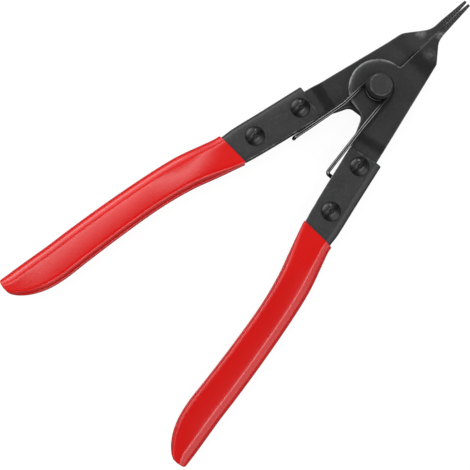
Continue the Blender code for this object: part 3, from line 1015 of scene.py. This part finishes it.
@dataclass(frozen=True)
class ReturnSpring:
    """The hairpin spring: a coil under the pin's head and a hooked leg to each channel."""

    coil_radius: float = 0.0055
    bend_x: float = -0.0155
    bend_y: Pair = (0.0058, 0.0069)
    stand_off: Pair = (0.0006, 0.0016)
    hook_u: Pair = (0.0415, 0.0425)
    hook_depth: Pair = (0.0056, 0.0026)
    hook_turn_in: Pair = (0.0002, 0.0028)
    bend_round: float = 0.0040
    hook_round: float = 0.0017
    channel_inner: float = 0.0031
    channel_half_gap: float = 0.0027
    end_taper: tuple[Pair, ...] = (
        (0.0, 0.35), (0.0001, 0.75), (0.0003, 0.95), (0.0006, 1.0))
    straight_shares: Triple = (0.0, 0.33, 0.67)
    coil_steps: int = 72
    bend_steps: int = 8
    hook_steps: int = 10
    wire_sides: int = 14
    # where the wire is painted with highlight lines: normal lean, band width, and start off the coil
    painted_sheen_at: float = 0.82
    painted_sheen_width: float = 0.13
    painted_sheen_from: float = 0.0045
    painted_sheen_fade: float = 0.0030
    bend_start: float = 0.0035

    def _leg(self, side: Side, level: float) -> Ring:
        """Bend one leg: straight, a bend, along the handle, and a hook.

        Args:
            side: The handle it lies at.
            level: Its height where it leaves the coil.

        Returns:
            Its centre line, from the coil outwards.
        """
        levels, line = Levels(), HandleLine(side)
        k = 0 if side is Side.LEFT else 1
        inner = self.channel_inner - self.stand_off[k] - levels.wire_radius
        hook_level = levels.mid_plane + self.channel_half_gap - levels.wire_radius
        coil = Vector((0, side.sign * self.coil_radius, level))
        bend = Vector((self.bend_x, side.sign * self.bend_y[k], level))
        corner = line.point(self.hook_u[k], inner).to_3d()
        corner.z = hook_level
        end = line.point(self.hook_u[k], inner + self.hook_turn_in[k]).to_3d()
        end.z = hook_level - self.hook_depth[k]
        run = rounded_corner(coil, bend, corner, self.bend_round, self.bend_steps)
        hook = rounded_corner(bend, corner, end, self.hook_round, self.hook_steps)
        back = (hook[-1] - end).normalized()
        tip = [end + back * distance for distance, _ in reversed(self.end_taper)]
        return [coil.lerp(run[0], share) for share in self.straight_shares] + run + hook + tip

    def build(self, finish: Material) -> None:
        """Wind the wire and let it bend between the two halves.

        Args:
            finish: Its material.
        """
        levels = Levels()
        low = levels.coil_bottom + levels.wire_radius
        rise = levels.coil_turns * levels.coil_pitch
        steps = round(levels.coil_turns * self.coil_steps)
        coil = []
        for i in range(1, steps):
            share = i / steps
            angle = pi / 2 - 2 * pi * levels.coil_turns * share
            coil.append(Vector((self.coil_radius * cos(angle), self.coil_radius * sin(angle),
                                low + rise * share)))
        left, right = self._leg(Side.LEFT, low), self._leg(Side.RIGHT, low + rise)
        path = list(reversed(left)) + coil + right
        curve = bpy.data.curves.new("wire", "CURVE")
        curve.dimensions, curve.use_fill_caps = "3D", True
        curve.bevel_depth, curve.bevel_resolution = levels.wire_radius, self.wire_sides
        spline = curve.splines.new("POLY")
        spline.points.add(len(path) - 1)
        for i, (point, place) in enumerate(zip(spline.points, path)):
            point.co = (*place, 1.0)
            from_end = min(i, len(path) - 1 - i, len(self.end_taper) - 1)
            point.radius = self.end_taper[from_end][1]
        drawn = bpy.data.objects.new("wire", curve)
        bpy.context.scene.collection.objects.link(drawn)
        bpy.context.view_layer.update()
        mesh = bpy.data.meshes.new_from_object(
            drawn.evaluated_get(bpy.context.evaluated_depsgraph_get()))
        bpy.data.objects.remove(drawn)
        bm = bmesh.new()
        bm.from_mesh(mesh)
        bm.normal_update()
        # painted highlight: two light lines along the wire's upper flanks, where the normal leans about 35
        # degrees off upright, kept off the coil
        layer = bm.verts.layers.float.new("wear_and_sheen")
        for vert in bm.verts:
            lightened = ease(1 - abs(vert.normal.z - self.painted_sheen_at) / self.painted_sheen_width)
            vert[layer] = lightened * ease((-vert.co.x - self.painted_sheen_from) / self.painted_sheen_fade)
        item = add_mesh("fine_return_spring", bm)
        item.data.materials.clear()
        item.data.materials.append(finish)
        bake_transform(item, Side.RIGHT.body, Side.LEFT.body, start=(0, -self.bend_start, 0),
                 end=(0, self.bend_start, 0))
        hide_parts("return_spring")
        LOG.info("%s: %d faces between the halves", item.name, len(item.data.polygons))


@dataclass(frozen=True)
class Shell:
    """How the surface of a handle differs from the bare steel with sharp flanges."""

    grow: float = 0.0            # off the steel, all round
    edge: float = 0.0003         # rounding of the flange tips, inside
    crest: float = 0.0003        # and outside
    soften: float = 0.0          # added to the radius of the bends
    tilt: float = 0.0            # slope of the broad faces by the bends
    lean: float = 0.0            # back towards the outer edge
    narrow: Pair = (0.0, 0.0)    # off the outer and the inner side


@dataclass(frozen=True)
class Handle:
    """A pressed channel handle with its dipped vinyl grip."""

    side: Side
    neck_tilt: float
    sheet: float = 0.0016
    half_gap: float = 0.0027
    bend_radius: float = 0.0030
    front: float = 0.02775
    inner_edge: float = 0.0031
    width: float = 0.0157
    reach: float = 0.1799
    end_width: float = 0.0026
    end_length: float = 0.0220
    end_drop: float = 0.0007
    end_powers: Pair = (2.5, 0.63)
    lightened_edge: float = 0.00024
    smallest_bend: float = 0.0001
    channel_tilt: float = 0.012
    # offset along, growth, and lightening of the front edge: edge scuffing and painted highlight
    broken_edge: tuple[Triple, ...] = (
        (0.0, -0.00025, 1.0), (0.00008, -0.0001, 1.0), (0.00025, 0.0, 0.4))
    plain_from: float = 0.0008
    bow: tuple[Triple, ...] = (
        (0.0480, 0.0000, 0.0002), (0.0630, 0.0001, 0.0007), (0.0690, -0.0004, 0.0015),
        (0.0780, 0.0005, 0.0028), (0.0900, 0.0018, 0.0044), (0.1050, 0.0019, 0.0049),
        (0.1250, 0.0011, 0.0038), (0.1450, -0.0003, 0.0020), (0.1570, -0.0014, 0.0008))
    bow_end: Pair = (-0.0026, 0.0007)
    short: float = 0.0008
    short_fades: Pair = (0.0180, 0.0060)
    vinyl: float = 0.00066
    pocket_edge: float = 0.0003
    vinyl_edge: float = 0.0006
    vinyl_crest: float = 0.0011
    vinyl_soften: float = 0.0008
    vinyl_tilt: float = 0.09
    neck_place: float = 0.0870
    neck_spread: float = 0.0200
    vinyl_start: float = 0.0669
    vinyl_lean: float = 0.21
    vinyl_narrow: Pair = (0.0010, 0.0006)
    lean_fade: float = 0.0150
    lip: float = 0.00030
    feather: float = 0.0090
    swell: float = 0.0200
    station: float = 0.0016
    corner_steps: int = 5
    flat_steps: int = 8
    closing_steps: int = 26
    lip_steps: int = 8
    end_steps: int = 6

    def _edges(self, u: float) -> Pair:
        """Find the edges of the channel.

        Args:
            u: A place along it.

        Returns:
            Its outer and its inner edge there, as v.
        """
        stations = ((self.front, 0.0, 0.0),) + self.bow + ((self.reach, *self.bow_end),)
        outer = self.inner_edge + self.width + smooth_through([(s[0], s[1]) for s in stations], u)
        inner = self.inner_edge + smooth_through([(s[0], s[2]) for s in stations], u)
        rounding = min(1.0, max(0.0, 1 - (self.reach - u) / self.end_length))
        fullness, taper = self.end_powers
        fall = 1 - (1 - rounding ** fullness) ** taper
        outer -= self.end_drop * fall
        inner += (outer - self.end_width - inner) * fall
        return outer, inner

    def _upper_short(self, u: float) -> float:
        """How much narrower the upper flange is than the lower one."""
        come, go = self.short_fades
        return self.short * ease((u - self.vinyl_start) / come) * ease((self.reach - u) / go)

    def _section(self, u: float, shell: Shell) -> Ring:
        """The U section at a place along the handle, its web outboard.

        Args:
            u: The place.
            shell: How the surface differs there from the bare steel's.

        Returns:
            Points round the section, from the tip of the upper flange outboard.
        """
        closing = self.reach - self.end_length
        place = min(u, closing + (u - closing) * self.end_length / (self.end_length + shell.grow))
        outer, inner = self._edges(place)
        bend = min(self.bend_radius, outer - inner - self.vinyl_edge)
        depth, gap = self.half_gap + self.sheet + shell.grow, self.half_gap - shell.grow
        web = outer - self.sheet - shell.grow
        small = max(bend - self.sheet - shell.grow, self.smallest_bend)
        low_tip = inner - shell.grow + shell.narrow[1]
        high_tip = low_tip + self._upper_short(place)
        spot = Vector((outer + shell.grow - shell.narrow[0], depth))
        below = replace(shell, tilt=min(shell.tilt, self.vinyl_tilt))
        upper = self._outside(Vector((high_tip, gap)), spot, bend, shell)
        lower = self._outside(Vector((low_tip, gap)), spot, bend, below)
        flat = upper + [Vector((p.x, -p.y)) for p in reversed(lower)]
        high, low = Vector((web, gap)), Vector((web, -gap))
        flat += rounded_corner(Vector((low_tip, -gap)), low, high, small, self.corner_steps)
        flat += rounded_corner(low, high, Vector((high_tip, gap)), small, self.corner_steps)
        line, ring = HandleLine(self.side), []
        middle_v = self.inner_edge + self.width / 2
        for v, z in flat:
            plan = line.point(u + shell.lean * (v - middle_v), v)
            ring.append(Vector((plan.x, plan.y, Levels().mid_plane + z)))
        return ring

    def _outside(self, tip: Vector, corner: Vector, bend: float, shell: Shell) -> Ring:
        """Half of a section's outside.

        Args:
            tip: The inner corner of the flange's tip, as (v, z).
            corner: The sharp corner outside the bend.
            bend: Outer radius of the bend in the bare steel.
            shell: How the surface differs there from the bare steel's.

        Returns:
            Points round the flange's tip, across its face and round the bend.
        """
        steps = self.corner_steps
        behind = Vector((tip.x, corner.y + shell.tilt * (corner.x - tip.x)))
        turn = rounded_corner(behind, corner, Vector((corner.x, -corner.y)),
                              bend + shell.grow + shell.soften, 2 * steps)
        start, across = turn[0], turn[0].x - tip.x
        crest = Vector((tip.x, start.y + shell.tilt * across / 2))
        ring = rounded_corner(Vector((start.x, tip.y)), tip, crest, shell.edge, steps)
        ring += rounded_corner(tip, crest, Vector((start.x, crest.y)), shell.crest, steps)
        first = ring[-1].x
        for i in range(1, self.flat_steps):
            x = first + (start.x - first) * i / self.flat_steps
            back = start.x - x
            ring.append(Vector((x, start.y + shell.tilt * back * (1 - back / across / 2))))
        return ring + turn

    def _stations(self, start: float, end: float) -> list[float]:
        """Space out the sections of the handle.

        Args:
            start: Where the first one stands.
            end: Where the last one stands.

        Returns:
            Their places, closer together towards the rounded end.
        """
        closing = self.reach - self.end_length
        count, last = int((closing - start) / self.station), self.closing_steps
        return ([start + (closing - start) * i / count for i in range(count)]
                + [closing + (end - closing) * sin(pi / 2 * i / last) for i in range(last + 1)])

    def build_channel(self, finish: Material) -> None:
        """Press the channel, with broken edges, and drill it for its rivets.

        Args:
            finish: Its material.
        """
        rings = [self._section(self.front + du, Shell(grow=grow))
                 for du, grow, _ in self.broken_edge]
        wear_and_sheen = [worn_and_lit for _, _, worn_and_lit in self.broken_edge]
        for u in self._stations(self.front + self.plain_from, self.reach):
            rings.append(self._section(u, Shell(tilt=self.channel_tilt)))
            wear_and_sheen.append(0.0)
        bm = extruded(rings, wear_and_sheen)
        self._mark_edges(bm)
        name = f"channel_{self.side.value}"
        item = add_mesh(f"fine_{name}", bm)
        drill(item, RivetRow().holes(HandleLine(self.side)))
        hand_over(item, name, self.side.body, finish)

    def _mark_edges(self, bm: BMesh) -> None:
        """Mark the flange tips of the channel to be painted lighter: edge scuffing and painted highlight.

        Args:
            bm: The channel's mesh, changed in place.
        """
        layer = bm.verts.layers.float["wear_and_sheen"]
        line, levels = HandleLine(self.side), Levels()
        for vert in bm.verts:
            u, v = vert.co.xy.dot(line.along), vert.co.xy.dot(line.outboard)
            if v < self._edges(min(u, self.reach))[1] + self.lightened_edge:
                if abs(vert.co.z - levels.mid_plane) > self.half_gap + 0.5 * self.sheet:
                    vert[layer] = 1.0

    def _skin(self, u: float, grow: float) -> Shell:
        """Shape the vinyl.

        Args:
            u: A place along the handle.
            grow: How far the surface stands off the steel.

        Returns:
            The shape of that surface there.
        """
        fullness = max(0.0, (grow - PLAY) / self.vinyl)
        swell = ease((u - self.vinyl_start) / self.swell) * fullness
        neck = ease(1 - abs(u - self.neck_place) / self.neck_spread) * fullness
        past = min(1.0, max(0.0, (u - self.reach) / (PLAY + self.vinyl)))
        shrink = (1 - (1 - past ** 2) ** 0.5) * fullness
        edge = self.pocket_edge + (self.vinyl_edge - self.pocket_edge) * fullness
        fade = ease((self.reach - u) / self.swell)
        return Shell(
            grow=grow, edge=edge, crest=edge + (self.vinyl_crest - self.vinyl_edge) * swell,
            soften=self.vinyl_soften * swell,
            tilt=self.vinyl_tilt * swell * fade + self.neck_tilt * neck,
            lean=self.vinyl_lean * max(0.0, 1 - (u - self.vinyl_start) / self.lean_fade),
            narrow=(self.vinyl_narrow[0] * shrink, self.vinyl_narrow[1] * shrink))

    def build_grip(self, finish: Material) -> None:
        """Dip the vinyl: a pocket for the steel, a thin lip, the skin and its rounded end.

        Args:
            finish: Its material.
        """
        start, end = self.vinyl_start, self.reach + PLAY + self.vinyl
        rings = [self._section(u, self._skin(u, PLAY))
                 for u in reversed(self._stations(start + self.lip, self.reach + PLAY))]
        for k in range(1, self.lip_steps):
            angle = pi * k / self.lip_steps
            u = start + self.lip * (1 - sin(angle))
            rings.append(self._section(u, self._skin(u, PLAY + self.lip * (1 - cos(angle)))))
        for u in self._stations(start + self.lip, end - self.vinyl_edge):
            thick = 2 * self.lip + (self.vinyl - 2 * self.lip) * ease((u - start) / self.feather)
            rings.append(self._section(u, self._skin(u, PLAY + thick)))
        for k in range(1, self.end_steps + 1):
            angle = pi / 2 * k / self.end_steps
            u = end - self.vinyl_edge * (1 - sin(angle))
            grow = PLAY + self.vinyl - self.vinyl_edge * (1 - cos(angle))
            rings.append(self._section(u, self._skin(u, grow)))
        name = f"grip_{self.side.value}"
        item = add_mesh(f"fine_{name}", extruded(rings, [0.0] * len(rings)))
        hand_over(item, name, self.side.body, finish)


# The studio

@dataclass(frozen=True)
class SoftBox:
    """A rectangular studio light aimed at a point."""

    name: str
    place: Triple
    aim: Triple
    size: Pair
    power: float

    def build(self) -> None:
        """Hang the light."""
        data = bpy.data.lights.new(self.name, "AREA")
        data.shape, data.size, data.size_y = "RECTANGLE", *self.size
        data.energy = self.power
        lamp = bpy.data.objects.new(self.name, data)
        lamp.location = self.place
        away = Vector(self.place) - Vector(self.aim)
        lamp.rotation_euler = away.to_track_quat("Z", "Y").to_euler()
        bpy.context.scene.collection.objects.link(lamp)


@dataclass(frozen=True)
class Studio:
    """Table, sky, lights and the camera at the photograph's place."""

    camera_place: Triple = (-0.16577, -0.04106, 0.85281)
    camera_turn: Triple = (radians(5.6303), radians(-1.8023), radians(-45.025))
    lens: float = 152.509
    sensor: float = 36.0
    clip: Pair = (0.01, 20.0)
    table_size: float = 6.0
    brightest: float = 4.0
    bands: tuple[Pair, ...] = (
        (-1.0, 1.5), (-0.50, 1.2), (-0.33, 0.7), (-0.25, 0.04), (0.14, 0.04), (0.22, 1.7),
        (0.26, 2.2), (0.30, 4.0), (0.35, 4.0), (0.39, 0.2), (0.58, 0.2), (0.68, 1.5), (1.0, 2.4))
    end_dim: float = 0.80
    end_fade: Pair = (0.30, 0.65)
    boxes: tuple[SoftBox, ...] = (
        SoftBox("low_left_box", (-0.08, 0.78, 0.28), (-0.05, 0.0, 0.0), (0.60, 0.15), 0.75),
        SoftBox("right_box", (-0.08, -0.34, 0.78), (-0.08, 0.0, 0.0), (0.70, 0.09), 1.15),
        SoftBox("far_spot", (0.50, 0.50, 0.53), (0.0, 0.0, 0.0), (0.12, 0.12), 0.80),
    )

    def build(self) -> None:
        """Set everything up and choose plain colour handling."""
        self._table()
        self._sky()
        for box in self.boxes:
            box.build()
        self._camera()
        bpy.context.scene.view_settings.view_transform = "Standard"

    def _table(self) -> None:
        """A wide white table at z = 0."""
        bm = bmesh.new()
        bmesh.ops.create_grid(bm, x_segments=1, y_segments=1, size=self.table_size / 2)
        table = add_mesh("table", bm)
        table.data.materials.append(PaleTable().material())

    def _sky(self) -> None:
        """Bands of light across the tent, dark straight overhead and dim towards its ends."""
        world = bpy.data.worlds.new("light_tent")
        bpy.context.scene.world = world
        world.use_nodes = True
        graph = Graph(world.node_tree)
        direction = graph.node("ShaderNodeTexCoord", output="Generated")
        x, y = (graph.node("ShaderNodeSeparateXYZ", None, {"Vector": direction}, output=axis)
                for axis in "XY")
        stops = [((place + 1) / 2, (level / self.brightest,) * 3) for place, level in self.bands]
        band = graph.node("ShaderNodeValToRGB", {"stops": stops}, {"Fac": y * 0.5 + 0.5},
                          output="Color")
        strength = band * self.brightest * (1.0 - x.size().over(*self.end_fade) * self.end_dim)
        back = graph.node("ShaderNodeBackground", None,
                          {"Color": (1.0, 1.0, 1.0, 1.0), "Strength": strength})
        graph.node("ShaderNodeOutputWorld", None, {"Surface": back})

    def _camera(self) -> None:
        """The camera, nearly overhead, as the photograph was taken."""
        data = bpy.data.cameras.new("camera")
        data.lens, data.sensor_width, data.sensor_fit = self.lens, self.sensor, "HORIZONTAL"
        data.clip_start, data.clip_end = self.clip
        camera = bpy.data.objects.new("camera", data)
        camera.location = self.camera_place
        camera.rotation_euler = Euler(self.camera_turn, "XYZ")
        bpy.context.scene.collection.objects.link(camera)
        bpy.context.scene.camera = camera


def build_pliers() -> None:
    """Make every piece of the pliers in its finish."""
    # the front jaw's edges are painted strongly lighter: edge scuffing and the painted highlight of its boss
    # roll
    front_finish = BlackOxide(
        "front_jaw_oxide", (0.017, 0.017, 0.0178), hatch_from=0.0385,
        edge_wear_and_sheen=0.85, patchy=(0.25, 0.60),
        # lighter patches on the nose bend and tip step: scuffing and painted highlight
        spots=(LitAndScuffedSpot((0.0267, -0.0052, 0.0093), 0.0040, 0.22),
               LitAndScuffedSpot((0.0362, -0.0022, 0.0092), 0.0030, 0.60))).material()
    rear_finish = BlackOxide(
        "rear_jaw_oxide", (0.020, 0.020, 0.0208), hatch_from=0.0390,
        # lighter patch on the rear nose bend: scuffing and painted highlight
        spots=(LitAndScuffedSpot((0.0306, 0.0045, 0.0093), 0.0036, 0.55),)).material()
    # channel edges painted lighter: scuffing and painted edge highlights
    channel_finish = BlackOxide("channel_oxide", (0.025, 0.025, 0.0266),
                                edge_wear_and_sheen=0.7).material()
    # the pin's rounded rims are painted lighter: edge scuffing and painted highlights on the face rim and
    # flank
    pin_finish = BlackOxide("pin_oxide", (0.028, 0.028, 0.0293), roughness=0.34,
                            edge_wear_and_sheen=0.8, grain_depth=0.00006).material()
    rivet_finish = BlackOxide("rivet_oxide", (0.010, 0.010, 0.0105), roughness=0.25,
                              edge_wear_and_sheen=0.2).material()
    # the spring's light colour paints highlight lines along its wire
    spring_finish = BlackOxide("spring_oxide", (0.005, 0.005, 0.0052), roughness=0.20,
                               specular=0.2, bare=(0.60, 0.60, 0.60), edge_wear_and_sheen=0.9,
                               patchy=(0.15, 0.40), cloud=0.0,
                               grain_depth=0.000001).material()

    Jaw(Side.LEFT, "jaw_rear", -1, shoulder=(0.0248, 0.0103), shoulder_round=0.0085,
        neck=(0.0352, 0.0026), tip_start=(0.0414, 0.00250)).build(rear_finish, "rear_jaw_steel")
    Jaw(Side.RIGHT, "jaw_front", 1, shoulder=(0.0259, 0.0099), shoulder_round=0.0006,
        neck=(0.0336, 0.0034), tip_start=(0.0380, 0.00265)).build(front_finish,
                                                                  "front_jaw_steel")
    PivotPin().build(pin_finish)
    ReturnSpring().build(spring_finish)
    # one vinyl in two copies: the left painted lighter and the right darker, for how the light falls on each
    # grip
    lit_left_red = Vinyl("left_vinyl_red_painted_lighter", colour=(0.84, 0.009, 0.007), deep=(0.78, 0.006, 0.005))
    shaded_right_red = Vinyl("right_vinyl_red_painted_darker", colour=(0.76, 0.007, 0.005), deep=(0.70, 0.005, 0.004))
    for side, neck_tilt, vinyl in ((Side.LEFT, 0.11, lit_left_red), (Side.RIGHT, 0.02, shaded_right_red)):
        handle = Handle(side, neck_tilt)
        handle.build_channel(channel_finish)
        handle.build_grip(vinyl.material())
        RivetRow().build(HandleLine(side), rivet_finish)


def main() -> None:
    """Build the pliers and the studio and report each piece."""
    logging.basicConfig(level=logging.INFO, format="%(message)s")
    build_pliers()
    Studio().build()


if __name__ == "__main__":
    main()
